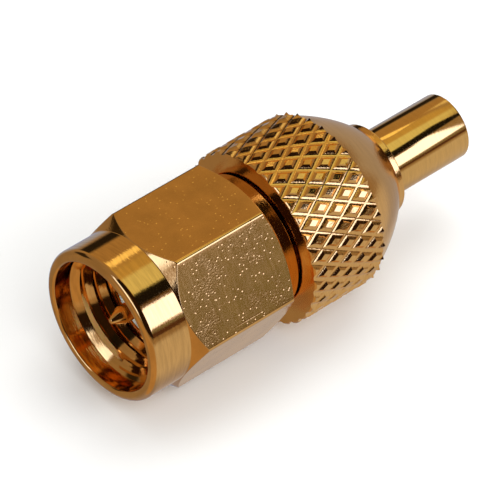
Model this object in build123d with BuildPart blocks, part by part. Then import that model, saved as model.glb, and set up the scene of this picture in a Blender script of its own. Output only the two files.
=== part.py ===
from build123d import *

import os
from math import cos, pi, radians, sin, tan

# Coaxial adapter: a screw-on plug with a hex coupling nut at one end, a knurled
# and domed body in the middle, and a small push-on jack at the other end.
# Everything is turned about the X axis, with the plug's mouth towards -X, the
# jack towards +X, and one flat of the nut facing down (-Z).
# X = 0 is the plug's reference plane, the front face of its contact sleeve.
# Sizes are in millimetres. Radii are named _radius, and lengths run along X.

# Plug interface: contact sleeve, centre pin and the nut's internal thread
sleeve_radius = 2.30
sleeve_wall = 0.25
sleeve_length = 2.75
pin_radius = 0.455
pin_length = 2.11
pin_cone_length = 0.67
pin_tip_radius = 0.12
line_radius = 0.635
thread_major_radius = 3.175
thread_depth = 0.325
thread_length = 3.10
thread_flank_angle = 30
mouth_radius = 3.40
mouth_depth = 1.00
mouth_break = 0.08

# Coupling nut
nut_length = 9.38
nut_overhang = 2.75
hex_across_flats = 8.00
hex_corner_round = 0.20
nose_radius = 3.98
nose_length = 2.22
nose_round = 0.28
front_chamfer_angle = 45
rear_chamfer_angle = 60
hex_end = 8.12
boss_radius = 3.50
boss_round = 0.10
nut_bore_clearance = 0.05
nut_relief_radius = 3.25
nut_relief_length = 1.60

# Plug shell that the nut turns on, and the ring that holds the nut to it
barrel_radius = 3.00
spigot_radius = 2.80
spigot_length = 2.60
ring_width = 0.50
ring_depth_in_shell = 0.36
ring_reach = 0.36
ring_place = 4.70
ring_clearance = 0.05
ring_gap_angle = 34
nut_play = 0.10
gasket_thickness = 0.70
gasket_height = 0.65
gasket_round = 0.12

# Knurled body
nut_to_body_gap = 0.12
body_radius = 4.60
body_front_break = 0.20
knurl_length = 4.45
dome_length = 2.95
dome_bulge = 0.18
collar_radius = 2.41
collar_length = 0.33
collar_break = 0.05

# Diamond knurl: raised flat-topped diamonds between two families of grooves
knurl_starts = 32
knurl_helix_angle = 30
knurl_depth = 0.18
knurl_flank_angle = 45
knurl_floor_width = 0.04
knurl_root_bite = 0.06

# Push-on jack at the rear
jack_radius = 1.72
jack_reach = 4.90
jack_seat_depth = 2.65
jack_seat_radius = 1.40
jack_bore_radius = 1.45
jack_bore_depth = 3.45
jack_bore_break = 0.10
jack_rim_round = 0.10
snap_groove_depth = 0.09
snap_groove_width = 0.40
snap_groove_place = 1.05
socket_radius = 0.42
socket_bore_radius = 0.21
socket_bore_depth = 1.90
socket_recess = 1.30
socket_slots = 4
socket_slot_width = 0.12
socket_slot_length = 1.60

# Insulators and the joint between the two centre contacts
front_insulator_length = 7.20
rear_core_radius = 1.20
flange_radius = 1.95
tail_radius = 0.25
tail_length = 1.60
tail_end_gap = 0.10
seat_clearance = 0.05

# Places along X that follow from the sizes above
nut_front = -nut_overhang
nut_rear = nut_front + nut_length
body_front = nut_rear + nut_to_body_gap
dome_start = body_front + knurl_length
dome_end = dome_start + dome_length
body_rear = dome_end + collar_length
jack_front = body_rear - jack_seat_depth
jack_rear = body_rear + jack_reach
jack_floor = jack_rear - jack_bore_depth
spigot_rear = body_front + spigot_length
body_shoulder = spigot_rear + seat_clearance
pin_tip = -pin_length
tail_end = front_insulator_length + tail_length
socket_front = front_insulator_length + seat_clearance
socket_rear = jack_rear - socket_recess
sleeve_bore_radius = sleeve_radius - sleeve_wall
barrel_front = sleeve_length
ring_rear = ring_place + ring_width
shell_groove_radius = barrel_radius - ring_depth_in_shell
nut_bore_radius = barrel_radius + nut_bore_clearance
ring_outer_radius = nut_bore_radius + ring_reach
thread_minor_radius = thread_major_radius - thread_depth
mouth_floor = nut_front + mouth_depth
thread_front = mouth_floor + (mouth_radius - thread_minor_radius) * tan(radians(thread_flank_angle))
thread_rear = thread_front + thread_length
relief_rear = thread_rear + nut_relief_length


def turned(*profile, mode=Mode.ADD):
    """Turn a closed profile of (x, radius) points about the X axis."""
    with BuildSketch(Plane.XY) as section:
        with BuildLine():
            Polyline(*profile, close=True)
        make_face()
    revolve(section.sketch, axis=Axis.X, mode=mode)


def rings_at(part, x):
    """Circular edges that lie in the plane at x, from the smallest to the largest."""
    circles = part.edges().filter_by(GeomType.CIRCLE)
    return circles.filter_by_position(Axis.X, x - 0.001, x + 0.001).sort_by(SortBy.RADIUS)


# Coupling nut: a round nose, a hexagon with turned chamfers, and a round boss
hex_sides = 6
hex_corner_radius = hex_across_flats / 2 / cos(pi / hex_sides)
hex_rise = hex_corner_radius - nose_radius
hex_front = nut_front + nose_length
hex_front_full = hex_front + hex_rise * tan(radians(front_chamfer_angle))
hex_rear_full = nut_front + hex_end
hex_fall = hex_corner_radius - boss_radius
hex_rear = hex_rear_full + hex_fall / tan(radians(rear_chamfer_angle))

with BuildPart() as coupling_nut:
    with BuildSketch(Plane.YZ.offset(hex_front)) as hexagon:
        RegularPolygon(radius=hex_corner_radius, side_count=hex_sides)
        fillet(hexagon.vertices(), radius=hex_corner_round)
    extrude(amount=hex_rear - hex_front)
    turned(
        (hex_front, 0),
        (hex_front, nose_radius),
        (hex_front_full, hex_corner_radius),
        (hex_rear_full, hex_corner_radius),
        (hex_rear, boss_radius),
        (hex_rear, 0),
        mode=Mode.INTERSECT,
    )
    turned((nut_front, 0), (nut_front, nose_radius), (hex_front, nose_radius), (hex_front, 0))
    turned((hex_rear, 0), (hex_rear, boss_radius), (nut_rear, boss_radius), (nut_rear, 0))
    fillet(rings_at(coupling_nut, nut_front)[-1], radius=nose_round)
    fillet(rings_at(coupling_nut, nut_rear)[-1], radius=boss_round)
    turned(
        (nut_front, 0),
        (nut_front, mouth_radius + mouth_break),
        (nut_front + mouth_break, mouth_radius),
        (mouth_floor, mouth_radius),
        (thread_front, thread_minor_radius),
        (thread_rear, thread_minor_radius),
        (thread_rear + nut_relief_radius - thread_minor_radius, nut_relief_radius),
        (relief_rear, nut_relief_radius),
        (relief_rear, nut_bore_radius),
        (nut_rear, nut_bore_radius),
        (nut_rear, 0),
        mode=Mode.SUBTRACT,
    )
    # Groove that carries the retaining ring along with the nut
    turned(
        (ring_place - ring_clearance, 0),
        (ring_place - ring_clearance, ring_outer_radius + ring_clearance),
        (ring_rear + ring_clearance, ring_outer_radius + ring_clearance),
        (ring_rear + ring_clearance, 0),
        mode=Mode.SUBTRACT,
    )
coupling_nut.part.label = "coupling_nut"

# Retaining ring: a flat C-shaped spring ring, half in the nut and half in the shell
with BuildPart() as retaining_ring:
    with BuildSketch(Plane.YZ.offset(ring_place)):
        Circle(ring_outer_radius)
        Circle(shell_groove_radius + ring_clearance, mode=Mode.SUBTRACT)
        with BuildLine():
            gap_reach = 2 * ring_outer_radius * sin(radians(ring_gap_angle / 2))
            Polyline(
                (0, 0),
                (-gap_reach, 2 * ring_outer_radius),
                (gap_reach, 2 * ring_outer_radius),
                close=True,
            )
        make_face(mode=Mode.SUBTRACT)
    extrude(amount=ring_width)
retaining_ring.part.label = "retaining_ring"

# Gasket: a soft ring round the foot of the contact sleeve
with BuildPart() as gasket:
    turned(
        (barrel_front - gasket_thickness, sleeve_radius),
        (barrel_front - gasket_thickness, sleeve_radius + gasket_height),
        (barrel_front, sleeve_radius + gasket_height),
        (barrel_front, sleeve_radius),
    )
    fillet(rings_at(gasket, barrel_front - gasket_thickness), radius=gasket_round)
gasket.part.label = "gasket"

# Plug shell: contact sleeve, barrel for the nut, and a spigot pressed into the body
shell_groove_front = ring_place - ring_clearance
shell_groove_rear = ring_rear + nut_play + ring_clearance
with BuildPart() as plug_shell:
    turned(
        (0, 0),
        (0, sleeve_radius),
        (barrel_front, sleeve_radius),
        (barrel_front, barrel_radius),
        (shell_groove_front, barrel_radius),
        (shell_groove_front, shell_groove_radius),
        (shell_groove_rear, shell_groove_radius),
        (shell_groove_rear, barrel_radius),
        (body_front, barrel_radius),
        (body_front, spigot_radius),
        (spigot_rear, spigot_radius),
        (spigot_rear, 0),
    )
    chamfer(rings_at(plug_shell, spigot_rear)[-1], length=seat_clearance * 2)
    fillet(rings_at(plug_shell, 0)[-1], radius=seat_clearance)
    turned(
        (0, 0),
        (0, sleeve_bore_radius),
        (front_insulator_length, sleeve_bore_radius),
        (front_insulator_length, flange_radius),
        (spigot_rear, flange_radius),
        (spigot_rear, 0),
        mode=Mode.SUBTRACT,
    )
plug_shell.part.label = "plug_shell"

# One diamond of the knurl, with its root plane at x = 0 and its top towards +X
knurl_root_radius = body_radius - knurl_depth
knurl_pitch = 2 * pi * body_radius / knurl_starts
diamond_width = knurl_pitch - knurl_floor_width
diamond_length = knurl_pitch / tan(radians(knurl_helix_angle)) - knurl_floor_width
row_pitch = knurl_pitch / tan(radians(knurl_helix_angle)) / 2
with BuildPart() as diamond:
    with BuildSketch(Plane.YZ) as diamond_root:
        with BuildLine():
            Polyline(
                (diamond_width / 2, 0),
                (0, diamond_length / 2),
                (-diamond_width / 2, 0),
                (0, -diamond_length / 2),
                close=True,
            )
        make_face()
    extrude(amount=knurl_depth + knurl_root_bite, taper=knurl_flank_angle)

# Knurled body: core, diamonds in staggered rows, then turned to its outline. The
# dome starts at the knurl's root, so the diamonds end on a small square step.
knurl_rows = int(knurl_length / row_pitch) + 2
with BuildPart() as knurled_body:
    turned((body_front, 0), (body_front, knurl_root_radius), (dome_end, knurl_root_radius), (dome_end, 0))
    for row in range(knurl_rows):
        stagger = 180 / knurl_starts * (row % 2)
        with Locations(Plane.YZ.offset(body_front + row * row_pitch)):
            with PolarLocations(knurl_root_radius - knurl_root_bite, knurl_starts, start_angle=stagger):
                add(diamond.part)
    with BuildSketch(Plane.XY) as outline:
        with BuildLine():
            start = (dome_start, knurl_root_radius)
            end = (dome_end, collar_radius)
            chord = Vector(*end) - Vector(*start)
            outward = Vector(-chord.Y, chord.X).normalized()
            crown = (Vector(*start) + Vector(*end)) / 2 + outward * dome_bulge
            Polyline(
                (body_front, 0),
                (body_front, body_radius - body_front_break),
                (body_front + body_front_break, body_radius),
                (dome_start, body_radius),
                start,
            )
            ThreePointArc(start, (crown.X, crown.Y), end)
            Polyline(end, (dome_end, 0), (body_front, 0))
        make_face()
    revolve(outline.sketch, axis=Axis.X, mode=Mode.INTERSECT)
    turned((dome_end, 0), (dome_end, collar_radius), (body_rear, collar_radius), (body_rear, 0))
    chamfer(rings_at(knurled_body, body_rear)[-1], length=collar_break)
    turned(
        (body_front, 0),
        (body_front, spigot_radius),
        (body_shoulder, spigot_radius),
        (body_shoulder, rear_core_radius),
        (jack_front, rear_core_radius),
        (jack_front, jack_seat_radius),
        (body_rear, jack_seat_radius),
        (body_rear, 0),
        mode=Mode.SUBTRACT,
    )
knurled_body.part.label = "knurled_body"

# Jack shell: a thin tube whose narrower seat is pressed into the body, with a snap
# groove near its mouth
snap_groove_front = jack_rear - snap_groove_place - snap_groove_width
snap_groove_radius = jack_bore_radius + snap_groove_depth
with BuildPart() as jack_shell:
    turned(
        (jack_front, rear_core_radius),
        (jack_front, jack_seat_radius),
        (body_rear, jack_seat_radius),
        (body_rear, jack_radius),
        (jack_rear, jack_radius),
        (jack_rear, jack_bore_radius + jack_bore_break),
        (jack_rear - jack_bore_break, jack_bore_radius),
        (snap_groove_front + snap_groove_width, jack_bore_radius),
        (snap_groove_front + snap_groove_width - snap_groove_depth, snap_groove_radius),
        (snap_groove_front + snap_groove_depth, snap_groove_radius),
        (snap_groove_front, jack_bore_radius),
        (jack_floor, jack_bore_radius),
        (jack_floor, rear_core_radius),
    )
    fillet(rings_at(jack_shell, jack_rear)[-1], radius=jack_rim_round)
jack_shell.part.label = "jack_shell"

# Front insulator: fills the plug shell, flush with the reference plane
with BuildPart() as front_insulator:
    turned(
        (0, line_radius),
        (0, sleeve_bore_radius),
        (front_insulator_length, sleeve_bore_radius),
        (front_insulator_length, line_radius),
    )
front_insulator.part.label = "front_insulator"

# Rear insulator: a flange trapped behind the plug shell, and a core into the jack
with BuildPart() as rear_insulator:
    turned(
        (front_insulator_length, socket_radius),
        (front_insulator_length, flange_radius),
        (body_shoulder, flange_radius),
        (body_shoulder, rear_core_radius),
        (jack_floor, rear_core_radius),
        (jack_floor, socket_radius),
    )
rear_insulator.part.label = "rear_insulator"

# Centre pin: pointed contact in front, line section in the insulator, tail behind
with BuildPart() as centre_pin:
    turned(
        (pin_tip, 0),
        (pin_tip, pin_tip_radius),
        (pin_tip + pin_cone_length, pin_radius),
        (0, pin_radius),
        (0, line_radius),
        (front_insulator_length, line_radius),
        (front_insulator_length, tail_radius),
        (tail_end, tail_radius),
        (tail_end, 0),
    )
centre_pin.part.label = "centre_pin"

# Socket contact: takes the pin's tail in front and a mating pin between its slotted fingers
with BuildPart() as socket_contact:
    turned((socket_front, 0), (socket_front, socket_radius), (socket_rear, socket_radius), (socket_rear, 0))
    fillet(rings_at(socket_contact, socket_rear)[-1], radius=(socket_radius - socket_bore_radius) / 2)
    turned(
        (socket_front, 0),
        (socket_front, tail_radius),
        (tail_end + tail_end_gap, tail_radius),
        (tail_end + tail_end_gap, 0),
        mode=Mode.SUBTRACT,
    )
    turned(
        (socket_rear - socket_bore_depth, 0),
        (socket_rear - socket_bore_depth, socket_bore_radius),
        (socket_rear, socket_bore_radius),
        (socket_rear, 0),
        mode=Mode.SUBTRACT,
    )
    with BuildSketch(Plane.YZ.offset(socket_rear)):
        with PolarLocations(socket_radius, socket_slots):
            Rectangle(2 * (socket_radius - socket_bore_radius) + socket_slot_width, socket_slot_width)
    extrude(amount=-socket_slot_length, mode=Mode.SUBTRACT)
socket_contact.part.label = "socket_contact"

pieces = [
    coupling_nut,
    retaining_ring,
    gasket,
    plug_shell,
    knurled_body,
    jack_shell,
    front_insulator,
    rear_insulator,
    centre_pin,
    socket_contact,
]
os.makedirs("parts", exist_ok=True)
for piece in pieces:
    export_step(piece.part, f"parts/{piece.part.label}.step")
    print(piece.part.label, "volume", round(piece.part.volume, 2), "mm3")
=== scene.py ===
# %% [markdown]
# A coaxial adapter, 22 mm long: a screw-on plug with a hexagonal coupling nut, a
# knurled body with a smooth dome, and a small push-on jack. All of it is turned
# brass with gold plating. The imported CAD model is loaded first. It is the fixed
# frame: the axis of the part is X, and the nut's mouth looks towards -X.

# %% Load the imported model
from math import atan2, ceil, cos, pi, radians, sin, sqrt, tan

import bmesh
import bpy
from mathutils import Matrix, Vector


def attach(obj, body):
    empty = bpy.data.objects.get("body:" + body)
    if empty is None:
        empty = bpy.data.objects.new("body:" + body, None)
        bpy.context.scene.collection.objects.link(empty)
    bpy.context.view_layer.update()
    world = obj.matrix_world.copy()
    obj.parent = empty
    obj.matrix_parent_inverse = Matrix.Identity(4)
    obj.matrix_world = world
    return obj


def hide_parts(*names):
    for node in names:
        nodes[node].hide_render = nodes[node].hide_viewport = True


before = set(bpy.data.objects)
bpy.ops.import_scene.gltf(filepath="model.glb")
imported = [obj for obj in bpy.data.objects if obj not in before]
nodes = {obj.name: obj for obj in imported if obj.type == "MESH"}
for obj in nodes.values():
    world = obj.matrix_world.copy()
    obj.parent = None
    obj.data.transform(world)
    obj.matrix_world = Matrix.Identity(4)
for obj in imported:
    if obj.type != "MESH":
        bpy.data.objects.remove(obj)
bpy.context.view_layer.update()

MM = 0.001  # a millimetre in Blender's metres

# %% [markdown]
# The sizes below are in millimetres, and nearly all are those of the CAD model.
# Polished gold shows every facet, so the pieces that show are turned again here
# with finer steps and softly broken edges, where their solids are. A few places
# follow the photo more closely than the solids do: the nut's nose is rounder, its
# thread starts with a cone, some edges are sharper, and the knurl's grooves are
# hollow and 0.03 mm less deep.

# %% Sizes of the nut
nut_front = -2.75
nut_rear = 6.63
nose_radius = 3.98
nose_round = 0.36
mouth_radius = 3.40
mouth_break = 0.08
mouth_floor = -1.75
thread_major = 3.175
thread_minor = 2.85
thread_pitch = 25.4 / 36
thread_front = -1.40
lead_in_radius = 3.05
thread_rear = 1.67
thread_margin = 0.1  # the ridge starts and ends this far inside its bore
relief_ramp = 0.1  # the step up to the relief slants over this length
relief_radius = 3.25
relief_rear = 3.268
nut_bore = 3.05
ring_front = 4.65
ring_rear = 5.25
ring_seat = 3.46
hex_flat = 4.00
hex_corner = hex_flat / cos(radians(30))
hex_round = 0.20
hex_front = -0.53
hex_rear_full = 5.37
hex_rear = 6.016
rear_chamfer = 60
boss_radius = 3.50
boss_round = 0.03
print("nut", round(nut_rear - nut_front, 2), "mm long,", 2 * hex_flat, "mm across flats")

# %% Sizes of the body and the jack
body_front = 6.75
body_radius = 4.60
dome_start = 11.20
dome_end = 14.15
dome_bulge = 0.18
collar_radius = 2.41
body_rear = 14.48
spigot_radius = 2.80
body_shoulder = 9.40
rear_core = 1.20
jack_front = 11.83
jack_seat = 1.40
jack_radius = 1.72
jack_rear = 19.38
jack_bore = 1.45
jack_floor = 15.93
print("jack stands out by", round(jack_rear - body_rear, 2), "mm")

# %% [markdown]
# Three small helpers serve every material. One turns a hex colour, which is how
# colours are read off a sample, to the linear values that the renderer works in.
# One adds a node to a tree, with its settings and its links. One turns a real
# size to a noise texture's scale, so that each pattern starts from millimetres.

# %% Helpers for colours and nodes
def colour(hex_value):
    """A hex colour as linear red, green, blue and alpha."""
    parts = [int(hex_value[i:i + 2], 16) / 255 for i in (1, 3, 5)]
    return [c / 12.92 if c <= 0.04045 else ((c + 0.055) / 1.055) ** 2.4 for c in parts] + [1]


def add(tree, kind, sockets=(), **settings):
    """Add a node with its settings, and set its inputs or link them to a node or socket."""
    node = tree.nodes.new(kind)
    for name, value in settings.items():
        setattr(node, name, value)
    for key, value in sockets.items() if isinstance(sockets, dict) else enumerate(sockets):
        if isinstance(value, bpy.types.Node):
            value = value.outputs[0]
        if isinstance(value, bpy.types.NodeSocket):
            tree.links.new(value, node.inputs[key])
        else:
            node.inputs[key].default_value = value
    return node


def per_mm(size):
    """The scale of a noise texture whose features are this many millimetres apart."""
    return 1 / (size * MM)


print("gold in linear values", [round(c, 3) for c in colour("#F9C57A")])

# %% [markdown]
# Gold plating on turned brass. The plating is a few thousandths of a millimetre
# thick, so it copies every mark in the brass: fine broken rings where the lathe
# tool ran, and specks, grain and faint scratches on the bar's flats. Polished gold
# shows what it mirrors, so the material is a metal with a gold tint, and most of
# its detail lies in roughness and bump. The tint is also darkened along the tool
# rings, as a painted stand-in for the streaks that the rings reflect, and in random
# patches on the flats. The rings of a real tool are 0.03 mm apart. They are drawn
# about four times as wide here, or they would be lost between the picture's
# pixels.

# %% Sizes of the marks in gold
ring_gap = 0.13  # from one tool ring to the next
ring_run = 1.1  # how far a ring runs before it breaks
grain_gap = 0.09
cloud_gap = 1.3  # from one worn patch to the next
cloud_edge = (0.52, 0.62)  # the clouds' values at a patch's edge and inside it
worn_grain = 0.0045  # the grain's height in a worn patch
speck_gap = 0.22
speck_radius = 0.055
speckless_share = 0.35  # this share of the places for specks stays bare
scratch_run = 4.0
scratch_gap = 0.16
scratch_edge = (0.72, 0.84)  # the noise's values at a scratch's edge and at its floor
scratch_depth = 0.22  # as a share of the deepest speck
tint_edge = (0.35, 0.65)  # the noise's values for the lightest and the darkest gold
dull_edge = (0.5, 1.5)  # the roughness of the smoothest and the roughest rings, as a share
print("rings", round(per_mm(ring_gap)), "and specks", round(per_mm(speck_gap)), "to the metre")

# %% Gold finish
def gold(name, tint, rough, rings, grain, specks, flats_from=100.0, flat_rough=0.07, painted_streaks_and_mottle=0.93):
    """Gold-plated brass. Heights are in mm. Past the radius flats_from, faces are the bar's own.
    The last argument darkens the tint along the tool rings, which is painted reflection streaking,
    and in random patches on the flats.
    """
    finish = bpy.data.materials.new(name)
    finish.use_nodes = True
    tree = finish.node_tree
    shader = tree.nodes["Principled BSDF"]
    shader.inputs["Metallic"].default_value = 1
    place = add(tree, "ShaderNodeTexCoord").outputs["Object"]
    across = add(tree, "ShaderNodeVectorMath", (place, (0, 1, 1)), operation="MULTIPLY")
    radius = add(tree, "ShaderNodeVectorMath", (across,), operation="LENGTH").outputs["Value"]
    flat = add(tree, "ShaderNodeMath", (radius, flats_from * MM), operation="GREATER_THAN")
    turned = add(tree, "ShaderNodeMath", (1.0, flat), operation="SUBTRACT")
    drawn_out = (per_mm(ring_gap), per_mm(ring_run), per_mm(ring_run))
    lathe = add(tree, "ShaderNodeVectorMath", (place, drawn_out), operation="MULTIPLY")
    marks = add(tree, "ShaderNodeTexNoise", {"Vector": lathe, "Scale": 1.0, "Detail": 2.0})
    clouds = add(
        tree, "ShaderNodeTexNoise", {"Vector": place, "Scale": per_mm(cloud_gap), "Detail": 4.0}
    )
    fine = add(
        tree, "ShaderNodeTexNoise", {"Vector": place, "Scale": per_mm(grain_gap), "Detail": 3.0}
    )
    dots = add(tree, "ShaderNodeTexVoronoi", {"Vector": place, "Scale": per_mm(speck_gap)})
    dot = add(
        tree, "ShaderNodeMapRange",
        {"Value": dots.outputs["Distance"], "From Min": 0.0, "From Max": speck_radius / speck_gap,
         "To Min": 1.0, "To Max": 0.0},
        interpolation_type="SMOOTHSTEP",
    )
    chosen = add(
        tree, "ShaderNodeMath", (dots.outputs["Color"], speckless_share), operation="GREATER_THAN"
    )
    depth = add(tree, "ShaderNodeMath", (dots.outputs["Color"], chosen), operation="MULTIPLY")
    speck = add(tree, "ShaderNodeMath", (dot, depth), operation="MULTIPLY")
    along = (per_mm(scratch_run), per_mm(scratch_gap), per_mm(scratch_gap))
    drawn = add(tree, "ShaderNodeVectorMath", (place, along), operation="MULTIPLY")
    lines = add(tree, "ShaderNodeTexNoise", {"Vector": drawn, "Scale": 1.0, "Detail": 1.0})
    scratch = add(
        tree, "ShaderNodeMapRange",
        {"Value": lines, "From Min": scratch_edge[0], "From Max": scratch_edge[1],
         "To Min": 0.0, "To Max": scratch_depth},
    )
    marked = add(tree, "ShaderNodeMath", (speck, scratch), operation="MAXIMUM")
    worn = add(
        tree, "ShaderNodeMapRange",
        {"Value": clouds, "From Min": cloud_edge[0], "From Max": cloud_edge[1],
         "To Min": grain * MM, "To Max": worn_grain * MM},
    )
    rubbed = add(tree, "ShaderNodeMix", {0: flat, 2: grain * MM, 3: worn})
    # Painted reflection streaks: on turned faces the tint darkens along the tool rings, standing in
    # for the streaks that the rings reflect. On flats it darkens in random patches.
    mottled = add(tree, "ShaderNodeMix", {0: flat, 2: marks, 3: clouds})
    tints = add(
        tree, "ShaderNodeMapRange",
        {"Value": mottled, "From Min": tint_edge[0], "From Max": tint_edge[1]},
    )
    darker = [c * painted_streaks_and_mottle for c in colour(tint)[:3]] + [1]
    shade = add(tree, "ShaderNodeMix", {0: tints, 6: colour(tint), 7: darker}, data_type="RGBA")
    tree.links.new(shade.outputs[2], shader.inputs["Base Color"])
    base_rough = add(tree, "ShaderNodeMix", {0: flat, 2: rough, 3: flat_rough})
    streak = add(
        tree, "ShaderNodeMapRange",
        {"Value": marks, "To Min": dull_edge[0], "To Max": dull_edge[1]},
    )
    dull = add(tree, "ShaderNodeMath", (base_rough, streak), operation="MULTIPLY")
    tree.links.new(dull.outputs[0], shader.inputs["Roughness"])
    ringed = add(
        tree, "ShaderNodeBump", {"Height": marks, "Distance": rings * MM, "Strength": turned}
    )
    grained = add(
        tree, "ShaderNodeBump",
        {"Height": fine, "Distance": rubbed, "Strength": 1.0, "Normal": ringed},
    )
    specked = add(
        tree, "ShaderNodeBump",
        {"Height": marked, "Distance": -specks * MM, "Strength": flat, "Normal": grained},
    )
    tree.links.new(specked.outputs[0], shader.inputs["Normal"])
    return finish


# %% [markdown]
# Four finishes come from it. The nut keeps deep tool rings on its nose and the
# bar's specked flats, which start just inside the hexagon's 4 mm. Knurling wheels
# leave the body grainy, not ringed. The rear barrel and the contacts are turned
# finer. Only the nut has flats.

# %% Gold finishes
plated_nut = gold(
    "gold_plated_nut", "#F9C57A", rough=0.08, rings=0.0030, grain=0.0012, specks=0.009,
    flats_from=3.99, flat_rough=0.10, painted_streaks_and_mottle=0.84,
)
plated_knurl = gold(
    "gold_plated_knurl", "#F9C57A", rough=0.10, rings=0.0006, grain=0.0060, specks=0.0
)
plated_barrel = gold(
    "gold_plated_barrel", "#F9C87A", rough=0.09, rings=0.0010, grain=0.0004, specks=0.0
)
plated_contact = gold(
    "gold_plated_contact", "#F9C57A", rough=0.12, rings=0.0010, grain=0.0004, specks=0.0
)
print("gold finishes", [m.name for m in (plated_nut, plated_knurl, plated_barrel, plated_contact)])

# %% [markdown]
# The white insulators are PTFE, cut from bar: a soft, slightly waxy white that
# light enters a little way. The gasket is moulded silicone rubber, and the hidden
# retaining ring is spring bronze.

# %% Insulator, gasket and ring finishes
light_reach = 0.4  # how far light spreads inside, in millimetres
dark_share = 0.85  # the grain's dark side against its light side
rough_spread = 0.2  # how far the roughness goes up and down with the grain


def plain(name, tint, rough, grain_size, grain_height, metallic=0.0, subsurface=0.0):
    """A finish with a fine grain in its colour, roughness and bump. Sizes are in millimetres."""
    finish = bpy.data.materials.new(name)
    finish.use_nodes = True
    tree = finish.node_tree
    shader = tree.nodes["Principled BSDF"]
    shader.inputs["Metallic"].default_value = metallic
    shader.inputs["Subsurface Weight"].default_value = subsurface
    shader.inputs["Subsurface Scale"].default_value = light_reach * MM
    place = add(tree, "ShaderNodeTexCoord").outputs["Object"]
    grain = add(
        tree, "ShaderNodeTexNoise", {"Vector": place, "Scale": per_mm(grain_size), "Detail": 3.0}
    )
    tones = add(tree, "ShaderNodeValToRGB", {"Fac": grain.outputs["Fac"]})
    tones.color_ramp.elements[0].color = [c * dark_share for c in colour(tint)[:3]] + [1]
    tones.color_ramp.elements[1].color = colour(tint)
    tree.links.new(tones.outputs["Color"], shader.inputs["Base Color"])
    dull = add(
        tree, "ShaderNodeMapRange",
        {"Value": grain.outputs["Fac"], "To Min": rough * (1 - rough_spread),
         "To Max": rough * (1 + rough_spread)},
    )
    tree.links.new(dull.outputs[0], shader.inputs["Roughness"])
    bump = add(
        tree, "ShaderNodeBump", {"Height": grain.outputs["Fac"], "Distance": grain_height * MM}
    )
    tree.links.new(bump.outputs[0], shader.inputs["Normal"])
    return finish


ptfe = plain(
    "ptfe", "#F2EFE8", rough=0.45, grain_size=0.25, grain_height=0.004, subsurface=0.3
)
silicone = plain("silicone_rubber", "#B5533A", rough=0.55, grain_size=0.15, grain_height=0.003)
bronze = plain(
    "spring_bronze", "#C98B55", rough=0.3, grain_size=0.2, grain_height=0.002, metallic=1.0
)
print("other finishes", [m.name for m in (ptfe, silicone, bronze)])

# %% [markdown]
# Turned pieces. A lathe cuts one outline all the way round, so a piece is a
# closed outline of (x, radius) points carried round the axis. A real edge is
# never quite sharp: each corner is broken by a small arc, which catches a thin
# line of light. Spin could do this too, but a grid written out point by point also
# lets the outline change with the angle, which the hexagon needs.

# %% Turned outlines
side_share = 0.45  # an arc takes up at most this share of a side


def break_edges(outline, size, steps=3):
    """Round each corner of a closed outline by this size, or by the corner's own third value."""
    rounded = []
    for i, corner in enumerate(outline):
        here = Vector(corner[:2])
        before = Vector(outline[i - 1][:2]) - here
        after = Vector(outline[(i + 1) % len(outline)][:2]) - here
        wanted = corner[2] if len(corner) > 2 else size
        reach = min(wanted, before.length * side_share, after.length * side_share)
        if reach <= 0 or here.y < 1e-9:
            rounded += [here] * (steps + 1)
            continue
        start = here + before.normalized() * reach
        end = here + after.normalized() * reach
        for step in range(steps + 1):
            t = step / steps
            rounded.append((1 - t) ** 2 * start + 2 * t * (1 - t) * here + t ** 2 * end)
    return rounded


def even_angles(count):
    """Angles of equal columns round the axis."""
    return [2 * pi * i / count for i in range(count)]


square = [(0, 1), (1, 1), (1, 2), (0, 2)]
print("a square with broken corners has", len(break_edges(square, 0.1)), "points")

# %% Outline to mesh
def turn(name, outline_at, angles, finish, edge=0.03, steps=3):
    """Carry an outline round the X axis. outline_at gives the outline at an angle."""
    columns = [break_edges(outline_at(a), edge, steps) for a in angles]
    rows = len(columns[0])
    points = [
        (p.x * MM, p.y * cos(a) * MM, p.y * sin(a) * MM)
        for column, a in zip(columns, angles) for p in column
    ]
    faces = []
    for c in range(len(angles)):
        d = (c + 1) % len(angles)
        for r in range(rows):
            s = (r + 1) % rows
            faces.append((c * rows + r, d * rows + r, d * rows + s, c * rows + s))
    mesh = bpy.data.meshes.new(name)
    mesh.from_pydata(points, [], faces)
    shell = bmesh.new()
    shell.from_mesh(mesh)
    bmesh.ops.remove_doubles(shell, verts=shell.verts, dist=1e-8)
    bmesh.ops.dissolve_degenerate(shell, edges=shell.edges, dist=1e-8)
    bmesh.ops.recalc_face_normals(shell, faces=shell.faces)
    shell.to_mesh(mesh)
    shell.free()
    return piece_from(name, mesh, finish)


def piece_from(name, mesh, finish):
    """Link a mesh as an object with one finish."""
    piece = bpy.data.objects.new(name, mesh)
    mesh.materials.clear()
    mesh.materials.append(finish)
    bpy.context.scene.collection.objects.link(piece)
    print(name, "faces", len(mesh.polygons))
    return piece


# %% [markdown]
# A modifier is worked out afresh each time, so every finished piece is settled to
# a plain mesh. Smooth shading then hides the steps of the turning. Sharp edges
# stay sharp by their angle, and weighted normals keep large faces flat.

# %% Plain mesh and smooth shading
def settle(piece):
    """Turn what the modifiers make into the piece's own plain mesh."""
    seen = piece.evaluated_get(bpy.context.evaluated_depsgraph_get())
    mesh = bpy.data.meshes.new_from_object(seen)
    mesh.name = piece.name
    piece.modifiers.clear()
    piece.data = mesh
    return mesh


def smooth(piece, angle=35):
    """Shade smooth up to an angle in degrees, with large faces setting the normals."""
    piece.data.shade_smooth()
    piece.data.set_sharp_from_angle(angle=radians(angle))
    weighted = piece.modifiers.new("weighted", "WEIGHTED_NORMAL")
    weighted.keep_sharp = True
    weighted.mode = "FACE_AREA"
    settle(piece)
    print(piece.name, "sharp edges", sum(e.use_edge_sharp for e in piece.data.edges))


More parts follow.
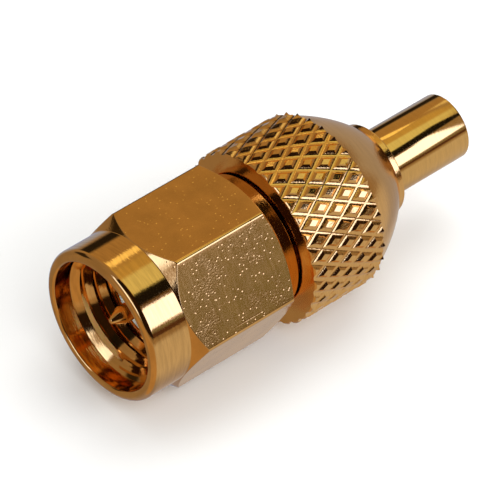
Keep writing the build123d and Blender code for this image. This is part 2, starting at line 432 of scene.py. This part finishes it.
# %% [markdown]
# The coupling nut is turned from hexagonal bar. Round the axis its outline
# changes: where the bar's corners reach out, the turned chamfers run further in.
# So the outline is worked out for each angle from the hexagon's reach there.
# The columns stand closer together at the rounded corners than on the flats.

# %% Reach of the hexagon
corner_centre = (hex_flat - hex_round) / cos(radians(30))
corner_angle = radians(30) - atan2((hex_flat - hex_round) * tan(radians(30)), hex_flat)


def hex_reach(angle):
    """Distance from the axis to the hexagon, rounded corners included."""
    off_flat = angle % (pi / 3) - pi / 6
    off_corner = pi / 6 - abs(off_flat)
    if off_corner >= corner_angle:
        return hex_flat / cos(off_flat)
    across = corner_centre * sin(off_corner)
    return corner_centre * cos(off_corner) + sqrt(hex_round ** 2 - across ** 2)


def nut_angles(flat_columns=22, corner_columns=6):
    """Column angles, a flat's and then a corner's, six times."""
    angles = []
    half_flat = pi / 6 - corner_angle
    for side in range(6):
        middle = pi / 6 + side * pi / 3
        for i in range(flat_columns):
            angles.append(middle - half_flat + 2 * half_flat * i / flat_columns)
        for i in range(corner_columns):
            angles.append(middle + half_flat + 2 * corner_angle * i / corner_columns)
    return angles


print("reach at a flat", hex_reach(pi / 6), "and at a corner", round(hex_reach(0.0), 3), "mm")

# %% Coupling nut
nose_steps = 10
nose_arc = [
    (nut_front + nose_round * (1 - sin(a)), nose_radius - nose_round * (1 - cos(a)), 0.0)
    for a in (radians(90 - 90 * i / nose_steps) for i in range(nose_steps + 1))
]


def nut_outline(angle):
    """The nut's closed outline at one angle; a third value is that corner's own rounding."""
    reach = hex_reach(angle)
    return [
        (nut_front, mouth_radius + mouth_break, mouth_break),
        *nose_arc,
        (hex_front, nose_radius),
        (hex_front + (reach - nose_radius), reach),
        (hex_rear_full + (hex_corner - reach) / tan(radians(rear_chamfer)), reach),
        (hex_rear, boss_radius),
        (nut_rear, boss_radius, boss_round),
        (nut_rear, nut_bore),
        (ring_rear, nut_bore),
        (ring_rear, ring_seat),
        (ring_front, ring_seat),
        (ring_front, nut_bore),
        (relief_rear, nut_bore),
        (relief_rear, relief_radius),
        (thread_rear + relief_ramp, relief_radius),
        (thread_rear, thread_major),
        (thread_front, thread_major),
        (thread_front, lead_in_radius),
        (mouth_floor, mouth_radius),
        (nut_front + mouth_break, mouth_radius),
    ]


nut = turn("coupling_nut_turned", nut_outline, nut_angles(), plated_nut)

# %% [markdown]
# The internal thread is a ridge with slanting flanks that climbs 0.706 mm with
# each turn, 36 turns to the inch. It follows a path, so Geometry Nodes make it:
# a trapezium is swept along a spiral. The ridge shrinks to almost nothing at both
# ends, as it does where a tap starts and stops. A boolean would give the same
# shape, but with far more work and a less even mesh.

# %% Helpers for geometry nodes
def new_tree(name, inputs):
    """A geometry tree with named inputs; returns the tree and its input sockets by name."""
    tree = bpy.data.node_groups.new(name, "GeometryNodeTree")
    tree.interface.new_socket("Geometry", in_out="OUTPUT", socket_type="NodeSocketGeometry")
    for label, kind in inputs.items():
        tree.interface.new_socket(label, in_out="INPUT", socket_type="NodeSocket" + kind)
    source = tree.nodes.new("NodeGroupInput")
    return tree, {label: source.outputs[label] for label in inputs}


def grow(name, tree, values, finish):
    """Run a geometry tree on an empty object and return its result as a plain mesh."""
    blank = bpy.data.objects.new(name, bpy.data.meshes.new(name))
    bpy.context.scene.collection.objects.link(blank)
    growth = blank.modifiers.new(name, "NODES")
    growth.node_group = tree
    values = dict(values, Finish=finish)
    for item in tree.interface.items_tree:
        if item.in_out == "INPUT":
            growth[item.identifier] = values[item.name]
    mesh = settle(blank)
    print(name, "faces", len(mesh.polygons))
    return blank


# %% [markdown]
# The tree: a spiral, its size at each place, a trapezium to sweep along it, and a
# quarter turn that lays the result along the part's axis.

# %% Tree of the thread
ridge_end_size = 0.02  # the ridge's size at its very ends, as a share of its full size

tree, given = new_tree("thread_turns", {
    "Front": "Float", "Turns": "Float", "Run": "Float", "Radius": "Float", "Depth": "Float",
    "Crest Width": "Float", "Base Width": "Float", "Fade": "Float", "Steps": "Int",
    "Finish": "Material",
})
spiral = add(tree, "GeometryNodeCurveSpiral", {
    "Resolution": given["Steps"], "Rotations": given["Turns"], "Height": given["Run"],
    "Start Radius": given["Radius"], "End Radius": given["Radius"],
})
level = add(tree, "GeometryNodeSetCurveNormal", {"Curve": spiral}, mode="Z_UP")
end_distance = add(
    tree, "ShaderNodeMath", (add(tree, "GeometryNodeSplineParameter"), 0.5), operation="PINGPONG"
)
size = add(
    tree, "ShaderNodeMapRange",
    {"Value": end_distance, "From Max": given["Fade"], "To Min": ridge_end_size},
)
faded = add(tree, "GeometryNodeSetCurveRadius", {"Curve": level, "Radius": size})
tooth = add(
    tree, "GeometryNodeCurvePrimitiveQuadrilateral",
    {"Height": given["Depth"], "Bottom Width": given["Base Width"],
     "Top Width": given["Crest Width"], "Offset": 0.0},
    mode="TRAPEZOID",
)
half_depth = add(tree, "ShaderNodeMath", (given["Depth"], 0.5), operation="MULTIPLY")
rooted = add(
    tree, "GeometryNodeTransform",
    {"Geometry": tooth, "Translation": add(tree, "ShaderNodeCombineXYZ", {"Y": half_depth})},
)
ridge = add(
    tree, "GeometryNodeCurveToMesh",
    {"Curve": faded, "Profile Curve": rooted, "Fill Caps": True},
)
laid = add(tree, "GeometryNodeTransform", {
    "Geometry": ridge,
    "Translation": add(tree, "ShaderNodeCombineXYZ", {"X": given["Front"]}),
    "Rotation": (0, pi / 2, 0),
})
real = add(tree, "GeometryNodeRealizeInstances", (laid,))
coated = add(tree, "GeometryNodeSetMaterial", {"Geometry": real, "Material": given["Finish"]})
add(tree, "NodeGroupOutput", (coated,))
print("thread tree", len(tree.nodes), "nodes")

# %% Thread
flank_angle = 30
flank_run = (thread_major - thread_minor) * tan(radians(flank_angle))
crest_width = thread_pitch / 4
thread_run = thread_rear - thread_front - 2 * thread_margin
thread_turns = thread_run / thread_pitch
fade_turns = 0.33  # how much of a turn the ridge takes to grow to its full size
thread = grow("thread_turns", tree, {
    "Front": (thread_front + thread_margin) * MM,
    "Turns": thread_turns,
    "Run": thread_run * MM,
    "Radius": thread_major * MM,
    "Depth": (thread_major - thread_minor) * MM,
    "Crest Width": crest_width * MM,
    "Base Width": (crest_width + 2 * flank_run) * MM,
    "Fade": fade_turns / thread_turns,
    "Steps": 96,
}, plated_nut)
radii = [sqrt(v.co.y ** 2 + v.co.z ** 2) / MM for v in thread.data.vertices]
print("thread turns", round(thread_turns, 2), "at", round(thread_pitch, 4), "mm")
print("thread radii", round(min(radii), 3), "to", round(max(radii), 3), "mm")

# %% [markdown]
# The diamond knurl. Two families of grooves cross and leave flat-topped diamonds
# in staggered rows. The knurling wheels press the grooves in with rounded teeth,
# so their floors are hollow: each shows a bright bar beside a dark one. Geometry
# Nodes make one diamond from a four-sided cone with a hollowed foot, repeat it on
# three nested lines of points (a staggered pair, a row round the body, all rows
# along it) and wrap the sheet round the axis. Cutting the grooves one by one
# would need 64 cutters.

# %% Sizes of the knurl
knurl_starts = 32
knurl_helix = 30
knurl_depth = 0.15
groove_width = 0.50
floor_hollow = 2.1  # 1 is a straight flank; more hollows the groove's floor
spare_rows = 3  # the sheet starts in front of the body and is trimmed to it
knurl_pitch = 2 * pi * body_radius / knurl_starts
diamond_length = knurl_pitch / tan(radians(knurl_helix))
groove_gap = knurl_pitch * cos(radians(knurl_helix))
knurl_rows = ceil((body_rear - body_front) / diamond_length) + spare_rows
print("diamonds", round(knurl_pitch, 3), "by", round(diamond_length, 3), "mm,", knurl_rows, "rows")

# %% [markdown]
# First one diamond, on a unit cone that the inputs then scale. Raising its height
# to a power turns the straight flanks into hollow ones. The open foot lets
# neighbours join into one sheet.

# %% Tree of the knurl, one diamond
tree, given = new_tree("diamond_knurl", {
    "Starts": "Int", "Rows": "Int", "Front": "Float", "Root Radius": "Float",
    "Pitch Radius": "Float", "Width": "Float", "Length": "Float", "Depth": "Float",
    "Top Share": "Float", "Hollow": "Float", "Steps": "Int", "Finish": "Material",
})
pyramid = add(tree, "GeometryNodeMeshCone", {
    "Vertices": 4, "Side Segments": given["Steps"], "Fill Segments": 1,
    "Radius Top": given["Top Share"], "Radius Bottom": 1.0, "Depth": 1.0,
})
open_foot = add(
    tree, "GeometryNodeDeleteGeometry",
    {"Geometry": pyramid, "Selection": pyramid.outputs["Bottom"]}, domain="FACE",
)
parts = add(tree, "ShaderNodeSeparateXYZ", (add(tree, "GeometryNodeInputPosition"),))
curved = add(tree, "ShaderNodeMath", (parts.outputs["Z"], given["Hollow"]), operation="POWER")
raised = add(tree, "ShaderNodeMath", (curved, given["Depth"]), operation="MULTIPLY")
profile = add(
    tree, "ShaderNodeCombineXYZ", {"X": parts.outputs["X"], "Y": parts.outputs["Y"], "Z": raised}
)
diamond = add(tree, "GeometryNodeSetPosition", {"Geometry": open_foot, "Position": profile})
cell = add(tree, "ShaderNodeCombineXYZ", {"X": given["Width"], "Y": given["Length"], "Z": 2.0})
half_cell = add(tree, "ShaderNodeVectorMath", {0: cell, "Scale": 0.5}, operation="SCALE")
sheet = add(tree, "GeometryNodeTransform", {"Geometry": diamond, "Scale": half_cell})
print("one diamond", len(tree.nodes), "nodes")

# %% [markdown]
# Then the sheet. A point's place across it becomes an angle round the axis, and
# its height becomes a radius, so the flat sheet closes to a tube. Points that meet
# are merged.

# %% Tree of the knurl, the wrapped sheet
weld_distance = 0.001
stagger = add(tree, "ShaderNodeVectorMath", (half_cell, (1, 1, 0)), operation="MULTIPLY")
sideways = add(tree, "ShaderNodeCombineXYZ", {"X": given["Width"]})
lengthways = add(tree, "ShaderNodeCombineXYZ", {"Y": given["Length"]})
for number, step in ((2, stagger), (given["Starts"], sideways), (given["Rows"], lengthways)):
    line = add(tree, "GeometryNodeMeshLine", {"Count": number, "Offset": step})
    sheet = add(tree, "GeometryNodeInstanceOnPoints", {"Points": line, "Instance": sheet})
flat_sheet = add(tree, "GeometryNodeRealizeInstances", (sheet,))
parts = add(tree, "ShaderNodeSeparateXYZ", (add(tree, "GeometryNodeInputPosition"),))
angle = add(tree, "ShaderNodeMath", (parts.outputs["X"], given["Pitch Radius"]), operation="DIVIDE")
upright = add(tree, "ShaderNodeCombineXYZ", {"X": parts.outputs["Y"], "Y": parts.outputs["Z"]})
origin = add(tree, "ShaderNodeCombineXYZ", {"X": given["Front"], "Y": given["Root Radius"]})
lifted = add(tree, "ShaderNodeVectorMath", (upright, origin), operation="ADD")
wrapped = add(
    tree, "ShaderNodeVectorRotate", {"Vector": lifted, "Angle": angle}, rotation_type="X_AXIS"
)
round_sheet = add(tree, "GeometryNodeSetPosition", {"Geometry": flat_sheet, "Position": wrapped})
joined = add(
    tree, "GeometryNodeMergeByDistance",
    {"Geometry": round_sheet, "Distance": weld_distance * MM},
)
real = add(tree, "GeometryNodeRealizeInstances", (joined,))
coated = add(tree, "GeometryNodeSetMaterial", {"Geometry": real, "Material": given["Finish"]})
add(tree, "NodeGroupOutput", (coated,))
print("knurl tree", len(tree.nodes), "nodes")

# %% Knurled sheet
knurl = grow("diamond_knurl", tree, {
    "Starts": knurl_starts,
    "Rows": knurl_rows,
    "Front": (body_front - diamond_length) * MM,
    "Root Radius": (body_radius - knurl_depth) * MM,
    "Pitch Radius": body_radius * MM,
    "Width": knurl_pitch * MM,
    "Length": diamond_length * MM,
    "Depth": knurl_depth * MM,
    "Top Share": 1 - groove_width / groove_gap,
    "Hollow": floor_hollow,
    "Steps": 5,
}, plated_knurl)
print("knurl box", [[round(c / MM, 3) for c in knurl.bound_box[i]] for i in (0, 6)])

# %% [markdown]
# After knurling, the body is turned to its outline: the front edge is broken and
# the dome cuts across the last diamonds. The wrapped sheet is trimmed square and
# closed, and a boolean keeps what lies inside both it and the turned outline. That
# gives the crisp meeting of dome and diamonds, which no flat pattern could.

# %% Helpers for the body
def close_ends(piece, low, high):
    """Cut an open tube square at two places along X and cap it."""
    shell = bmesh.new()
    shell.from_mesh(piece.data)
    for x, outward in ((low, -1), (high, 1)):
        everything = shell.verts[:] + shell.edges[:] + shell.faces[:]
        bmesh.ops.bisect_plane(
            shell, geom=everything, plane_co=(x * MM, 0, 0), plane_no=(outward, 0, 0),
            clear_outer=True, dist=1e-9,
        )
    bmesh.ops.holes_fill(shell, edges=[e for e in shell.edges if e.is_boundary])
    bmesh.ops.recalc_face_normals(shell, faces=shell.faces)
    print("open edges", sum(e.is_boundary for e in shell.edges))
    shell.to_mesh(piece.data)
    shell.free()


def arc_between(start, end, bulge, steps):
    """Points of a shallow arc between two outline points."""
    start, end = Vector(start), Vector(end)
    chord = end - start
    radius = (chord.length ** 2 / 4 + bulge ** 2) / (2 * bulge)
    normal = Vector((-chord.y, chord.x)).normalized()
    centre = (start + end) / 2 - normal * (radius - bulge)
    first = atan2(start.y - centre.y, start.x - centre.x)
    last = atan2(end.y - centre.y, end.x - centre.x)
    angles = [first + (last - first) * i / steps for i in range(steps + 1)]
    return [(centre.x + radius * cos(a), centre.y + radius * sin(a)) for a in angles]


dome_foot = 4.42  # the dome starts below the diamonds' tops, so it cuts their ends off
dome_arc = arc_between((dome_start, dome_foot), (dome_end, collar_radius), dome_bulge, 24)
print("dome", round(dome_end - dome_start, 2), "mm long,", len(dome_arc), "points")

# %% Knurled body
front_break = 0.08
trim_margin = 0.2  # the sheet is trimmed this far outside the outline's ends
body_outline = [
    (body_front, spigot_radius, 0.05),
    (body_front, body_radius - front_break, 0.03),
    (body_front + front_break, body_radius, 0.03),
    (dome_start, body_radius, 0.02),
    *[(x, r, 0.0) for x, r in dome_arc],
    (body_rear, collar_radius, 0.06),
    (body_rear, jack_seat, 0.0),
    (jack_front, jack_seat, 0.0),
    (jack_front, rear_core, 0.0),
    (body_shoulder, rear_core, 0.0),
    (body_shoulder, spigot_radius, 0.0),
]
close_ends(knurl, body_front - trim_margin, body_rear + trim_margin)
body = turn(
    "knurled_body_turned", lambda angle: body_outline, even_angles(192), plated_knurl, steps=6
)
cut = body.modifiers.new("knurled", "BOOLEAN")
cut.operation = "INTERSECT"
cut.solver = "EXACT"
cut.object = knurl
settle(body)
bpy.data.objects.remove(knurl)
print("body faces", len(body.data.polygons), "box", [round(c / MM, 3) for c in body.bound_box[6]])

# %% [markdown]
# The body is smoothed only up to 18 degrees. Where hollow grooves cross, their
# floors meet at shallow mitres, and smoothing these would blur them to white hooks.

# %% Smooth shading of the outer pieces
smooth(body, 18)
smooth(nut)
smooth(thread)

# %% [markdown]
# The plug shell, the jack's tube and the centre pin are plain turned pieces. The
# shell is the sleeve in the mouth and the barrel that the nut turns on, with a
# groove for the retaining ring. Its corners have only the small breaks that a
# lathe leaves.

# %% Plug shell
sleeve_radius = 2.30
sleeve_bore = 2.05
barrel_front = 2.75
barrel_radius = 3.00
ring_groove_front = 4.65
ring_groove_rear = 5.35
ring_groove_floor = 2.64
insulator_rear = 7.20
flange_radius = 1.95
spigot_rear = 9.35
shell_outline = [
    (0, sleeve_bore, 0.02),
    (0, sleeve_radius, 0.05),
    (barrel_front, sleeve_radius),
    (barrel_front, barrel_radius),
    (ring_groove_front, barrel_radius),
    (ring_groove_front, ring_groove_floor),
    (ring_groove_rear, ring_groove_floor),
    (ring_groove_rear, barrel_radius),
    (body_front, barrel_radius),
    (body_front, spigot_radius),
    (spigot_rear, spigot_radius, 0.10),
    (spigot_rear, flange_radius),
    (insulator_rear, flange_radius),
    (insulator_rear, sleeve_bore),
]
shell = turn("plug_shell_turned", lambda angle: shell_outline, even_angles(160), plated_contact)
smooth(shell)

# %% [markdown]
# The jack is a thin tube. A small cone leads the mating plug in, and the groove
# inside takes the spring ring that the plug snaps in with.

# %% Jack tube
rim_break = 0.10
snap_front = 17.93
snap_rear = 18.33
snap_depth = 0.09
jack_outline = [
    (jack_front, rear_core),
    (jack_front, jack_seat),
    (body_rear, jack_seat),
    (body_rear, jack_radius),
    (jack_rear, jack_radius, rim_break),
    (jack_rear, jack_bore + rim_break, 0.02),
    (jack_rear - rim_break, jack_bore, 0.02),
    (snap_rear, jack_bore),
    (snap_rear - snap_depth, jack_bore + snap_depth),
    (snap_front + snap_depth, jack_bore + snap_depth),
    (snap_front, jack_bore),
    (jack_floor, jack_bore),
    (jack_floor, rear_core),
]
jack = turn("jack_tube_turned", lambda angle: jack_outline, even_angles(160), plated_barrel)
smooth(jack)

# %% [markdown]
# The centre pin ends in a cone with a small blunt tip. It is thicker inside the
# insulator, and its thin tail carries the rear socket. The outline starts and ends
# on the axis, so the tip closes.

# %% Centre pin
pin_front = -2.11
pin_cone_rear = -1.44
pin_tip_radius = 0.12
pin_radius = 0.455
line_radius = 0.635
tail_radius = 0.25
tail_rear = 8.80
pin_outline = [
    (pin_front, 0.0, 0.0),
    (pin_front, pin_tip_radius, 0.05),
    (pin_cone_rear, pin_radius, 0.05),
    (0, pin_radius),
    (0, line_radius),
    (insulator_rear, line_radius),
    (insulator_rear, tail_radius),
    (tail_rear, tail_radius),
    (tail_rear, 0.0, 0.0),
]
pin = turn("centre_pin_turned", lambda angle: pin_outline, even_angles(64), plated_contact)
smooth(pin)

# %% [markdown]
# Five CAD nodes keep their own shape, because they are hidden or nearly so, and
# only get finishes. Each turned piece rides on the body that it moves with, and
# the node that it stands for is hidden. The table also lists the slot of each finish.

# %% Finishes for the nodes that stay
for node, finish in {
    "front_insulator": ptfe,
    "rear_insulator": ptfe,
    "gasket": silicone,
    "retaining_ring": bronze,
    "socket_contact": plated_contact,
}.items():
    nodes[node].data.materials.clear()
    nodes[node].data.materials.append(finish)
    print(node, "is", finish.name)

# %% Bodies, nodes and slots of the turned pieces
for piece, body_name, node, slot in (
    (nut, "nut", "coupling_nut", "gold_nut"),
    (thread, "nut", "coupling_nut", "gold_nut"),
    (body, "adapter", "knurled_body", "gold_knurl"),
    (shell, "adapter", "plug_shell", "gold_shell"),
    (jack, "adapter", "jack_shell", "gold_barrel"),
    (pin, "adapter", "centre_pin", "gold_contact"),
):
    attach(piece, body_name)
    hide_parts(node)
    print(piece.name, "rides on", body_name, "for", node)

# %% [markdown]
# The camera stands where the photographer's did: above the part's left front, a
# quarter of a metre away, with a long lens that hardly narrows the far end.

# %% Camera
azimuth = radians(-41.3)
elevation = radians(41.9)
to_camera = Vector((sin(azimuth) * cos(elevation), -cos(azimuth) * cos(elevation), sin(elevation)))
to_right = Vector((cos(azimuth), sin(azimuth), 0))
to_top = to_camera.cross(to_right)
camera_distance = 250.0
pixels_per_mm = 20.9
picture_side = 500
aim_place = 7.25  # a place on the part's axis near its middle
pixels_right = 9.6  # how far that place stands from the picture's middle
pixels_up = 15.7
aim = (
    Vector((aim_place, 0, 0))
    - to_right * (pixels_right / pixels_per_mm)
    - to_top * (pixels_up / pixels_per_mm)
)
camera_data = bpy.data.cameras.new("camera")
camera_data.sensor_width = 36
camera_data.lens = camera_data.sensor_width * pixels_per_mm * camera_distance / picture_side
camera_data.clip_start = 0.01
camera_data.clip_end = 10
camera = bpy.data.objects.new("camera", camera_data)
camera.rotation_mode = "QUATERNION"
camera.location = (aim + to_camera * camera_distance) * MM
camera.rotation_quaternion = (-to_camera).to_track_quat("-Z", "Y")
bpy.context.scene.collection.objects.link(camera)
bpy.context.scene.camera = camera
print("lens", round(camera_data.lens, 1), "mm")

# %% [markdown]
# Polished gold is lit by what it mirrors, so the part lies in a light tent, as
# small jewellery does. Soft boxes are its bright patches and gaps between them
# its dark ones. Only reflections see the tent. The floor and the insulators are
# lit by plain area lamps.

# %% Light tent
tent_mesh = bpy.data.meshes.new("light_tent")
shape = bmesh.new()
bmesh.ops.create_uvsphere(shape, u_segments=64, v_segments=32, radius=0.6)
shape.to_mesh(tent_mesh)
shape.free()
tent = bpy.data.objects.new("light_tent", tent_mesh)
bpy.context.scene.collection.objects.link(tent)
tent.visible_camera = False
tent.visible_diffuse = False
tent.visible_transmission = False
tent.visible_shadow = False
print("tent", round(tent.dimensions.x, 2), "m across")

# %% [markdown]
# Each panel is a soft-edged rectangle on the tent's cloth, given in degrees round
# the part and up from its level. All the tones are linear. The bluish white boxes
# turn to pale gold in the mirror of a gold surface, and the brown and black panels
# give it its depth.

# %% Panels of the tent
cloth = bpy.data.materials.new("tent_cloth")
cloth.use_nodes = True
tree = cloth.node_tree
tree.nodes.clear()
place = add(tree, "ShaderNodeTexCoord").outputs["Object"]
direction = add(tree, "ShaderNodeVectorMath", (place,), operation="NORMALIZE")
parts = add(tree, "ShaderNodeSeparateXYZ", (direction,))
toward_back = add(tree, "ShaderNodeMath", (parts.outputs["Y"], -1.0), operation="MULTIPLY")
side = add(tree, "ShaderNodeMath", (parts.outputs["X"], toward_back), operation="ARCTAN2")
height = add(tree, "ShaderNodeMath", (parts.outputs["Z"],), operation="ARCSINE")
panels = (
    # name, middle and half width round the part, middle and half height, tilt, softness, tone
    ("front_table", 33, 103, -50, 43, 0.0, 8, (0.54, 0.50, 0.46)),
    ("under_table", 90, 300, -85, 25, 0.0, 30, (0.32, 0.29, 0.32)),
    ("rear_table", 155, 22, -30, 24, 0.0, 16, (0.36, 0.42, 0.60)),
    ("dome_table", 112, 28, -14, 26, 0.0, 10, (0.38, 0.36, 0.38)),
    ("left_table", -70, 45, -45, 40, 0.0, 20, (0.45, 0.29, 0.14)),
    ("warm_ceiling", 90, 75, 68, 24, 0.0, 10, (0.54, 0.40, 0.14)),
    ("brown_wall", 148, 26, 38, 22, 0.0, 12, (0.38, 0.25, 0.11)),
    ("gold_reflector", 62, 30, 62, 18, 0.0, 14, (0.70, 0.70, 0.38)),
    ("gold_card", 112, 16, 30, 9, 0.0, 6, (0.8, 0.7, 0.4)),
    ("gold_glint", 137, 14, 53, 4, 0.0, 3, (1.2, 1.0, 0.45)),
    ("white_box", 25, 21, 26, 14, 0.0, 3, (1.9, 2.2, 3.7)),
    ("left_box", -87, 23, 31, 8, -0.6, 5, (1.6, 1.9, 3.0)),
    ("sill", 25, 34, 8, 2, -0.05, 1.5, (0.20, 0.19, 0.13)),
    ("skirting", 25, 38, 3, 3.2, -0.12, 2, (0.09, 0.04, 0.02)),
    ("frame", 28, 12, 42, 3, -0.1, 2, (0.16, 0.10, 0.05)),
    ("gap_above", 42, 26, 48.5, 8, -0.25, 3, (0.01, 0.008, 0.006)),
    ("gap_top", -40, 62, 65, 20, 0.0, 5, (0.01, 0.008, 0.006)),
    ("gap_right", 82, 22, 26, 8, 0.0, 4, (0.02, 0.012, 0.006)),
    ("gap_behind", 147, 14, 7, 10, 0.6, 8, (0.02, 0.015, 0.01)),
    ("gap_left", -29, 35, 40, 38, 0.0, 5, (0.02, 0.01, 0.005)),
    ("gap_rear_left", -160, 16, 15, 10, 0.0, 8, (0.03, 0.02, 0.01)),
)


def near(value, middle, half, soft):
    """1 within half a width of the middle, 0 outside, with a soft edge. Angles in degrees."""
    off = add(tree, "ShaderNodeMath", (value, radians(middle)), operation="SUBTRACT")
    distance = add(tree, "ShaderNodeMath", (off,), operation="ABSOLUTE")
    limits = {"From Min": radians(half + soft / 2), "From Max": radians(half - soft / 2)}
    return add(
        tree, "ShaderNodeMapRange", {"Value": distance, **limits}, interpolation_type="SMOOTHSTEP"
    )


shown = (0.30, 0.22, 0.14, 1)  # the bare cloth
for name, middle, half, level, half_level, tilt, soft, tone in panels:
    off_middle = add(tree, "ShaderNodeMath", (side, radians(middle)), operation="SUBTRACT")
    level_here = add(tree, "ShaderNodeMath", (off_middle, -tilt, height), operation="MULTIPLY_ADD")
    bounds = (near(side, middle, half, soft), near(level_here, level, half_level, soft))
    weight = add(tree, "ShaderNodeMath", bounds, operation="MULTIPLY")
    layer = add(
        tree, "ShaderNodeMix", {0: weight, 6: shown, 7: (*tone, 1)}, data_type="RGBA", label=name
    )
    shown = layer.outputs[2]
glow = add(tree, "ShaderNodeEmission", {"Color": shown, "Strength": 1.0})
add(tree, "ShaderNodeOutputMaterial", {"Surface": glow})
tent_mesh.materials.append(cloth)
print("panels", len(panels), "nodes", len(tree.nodes))

# %% [markdown]
# The part lies on a matt white board, on the rim of its knurl. The board keeps the
# soft shadow. It isn't seen in the gold, where the tent's own table panels stand
# for it.

# %% Floor
floor_height = -body_radius
floor_reach = 3.0
corners = ((-1, -1), (1, -1), (1, 1), (-1, 1))
floor_mesh = bpy.data.meshes.new("floor")
floor_mesh.from_pydata(
    [(x * floor_reach, y * floor_reach, floor_height * MM) for x, y in corners],
    [],
    [(0, 1, 2, 3)],
)
floor = bpy.data.objects.new("floor", floor_mesh)
bpy.context.scene.collection.objects.link(floor)
floor.visible_glossy = False
board = bpy.data.materials.new("white_board")
board.use_nodes = True
matt = board.node_tree.nodes["Principled BSDF"]
matt.inputs["Base Color"].default_value = colour("#F4F4F2")
matt.inputs["Roughness"].default_value = 0.8
matt.inputs["Specular IOR Level"].default_value = 0.0
floor_mesh.materials.append(board)
print("floor at", floor_height, "mm")

# %% [markdown]
# Three soft lamps and a pale world light what isn't metal, and cast the shadow.
# Their directions are given as the photographer would: to the right, up and
# towards the camera.

# %% Lamps and world
def studio_direction(right, top, toward):
    """A direction seen from the camera's place, as a direction of the scene."""
    return (to_right * right + to_top * top + to_camera * toward).normalized()


def lamp(name, toward, distance, size, power):
    """A square area lamp that looks at the part. Lengths are in metres, the power in watts."""
    data = bpy.data.lights.new(name, "AREA")
    data.size = size
    data.energy = power
    obj = bpy.data.objects.new(name, data)
    obj.location = toward * distance
    obj.rotation_mode = "QUATERNION"
    obj.rotation_quaternion = toward.to_track_quat("Z", "Y")
    obj.visible_glossy = False
    bpy.context.scene.collection.objects.link(obj)


lamp("key_lamp", studio_direction(0.91, 0.1, 0.42), 0.8, 0.5, 3.0)
lamp("top_lamp", studio_direction(0.1, 0.9, 0.3), 0.9, 0.8, 4.0)
lamp("fill_lamp", studio_direction(0.35, 0.1, 0.93), 0.9, 0.6, 3.0)

world = bpy.data.worlds.new("white_room")
world.use_nodes = True
sky = world.node_tree.nodes["Background"]
sky.inputs["Color"].default_value = (1, 1, 1, 1)
sky.inputs["Strength"].default_value = 0.6
bpy.context.scene.world = world
bpy.context.scene.view_settings.view_transform = "Standard"
